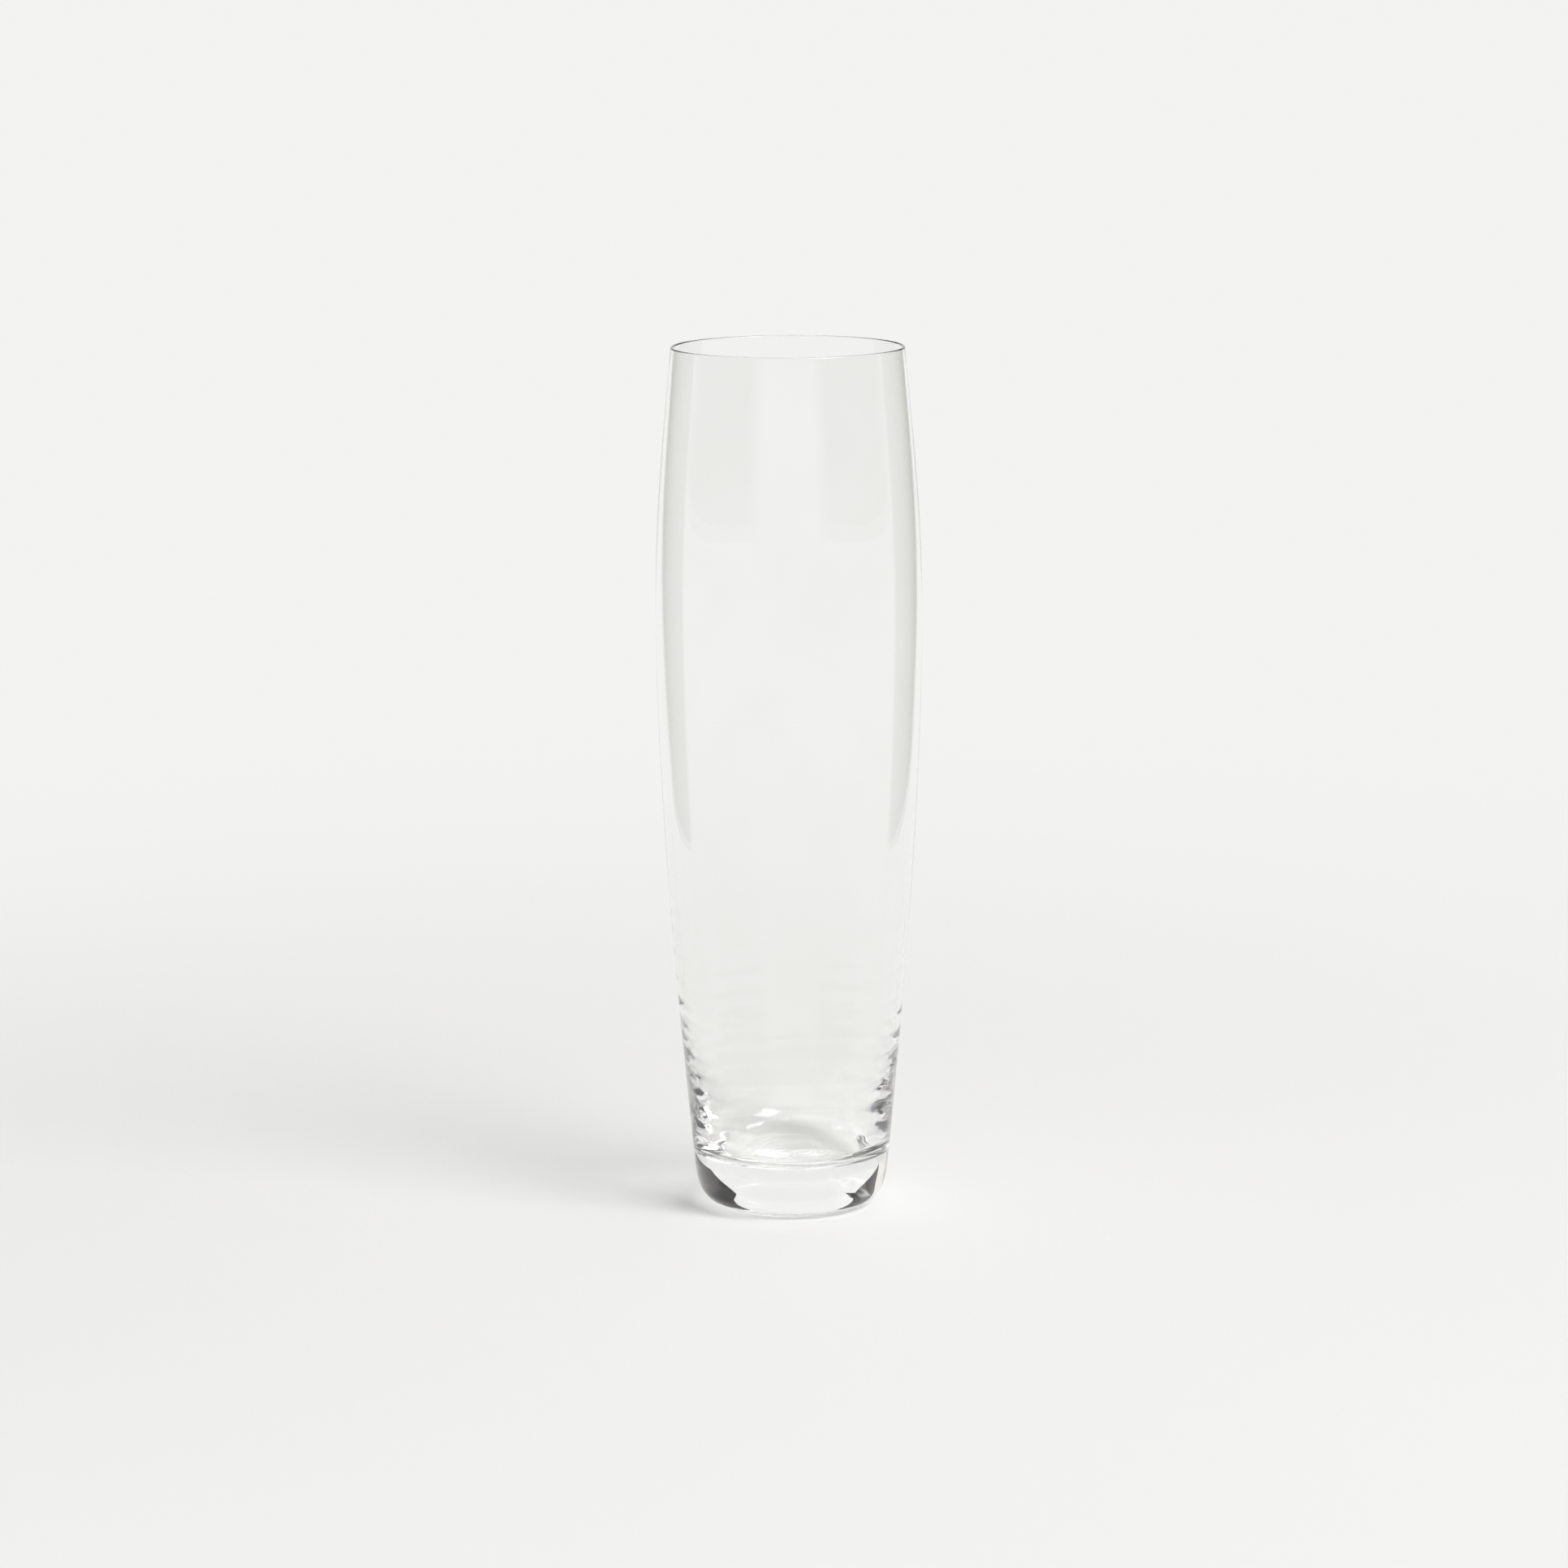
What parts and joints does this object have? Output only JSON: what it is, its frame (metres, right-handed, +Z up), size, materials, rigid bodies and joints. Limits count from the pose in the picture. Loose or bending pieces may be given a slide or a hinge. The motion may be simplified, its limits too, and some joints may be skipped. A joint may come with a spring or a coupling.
{
  "type": "stemless champagne glass",
  "caption": "Tall stemless champagne glass in clear blown glass, with a thin barrel-shaped bowl that holds the drink and a thick rounded base to stand on.",
  "frame": {"origin": "on the table under the middle of the base, at the height of the flat ring that the glass stands on", "axes": "+Z up along the axis of the glass, towards the rim; X and Y are free, because the glass is round"},
  "size_m": [0.0582, 0.0582, 0.19],
  "materials": {
    "clear_glass": "clear, fire-polished, thin and slightly wavy blown glass",
    "base_glass": "clear, polished, thick solid glass"
  },
  "bodies": {
    "root": {"bowl": "clear_glass", "base": "base_glass"}
  },
  "joints": []
}
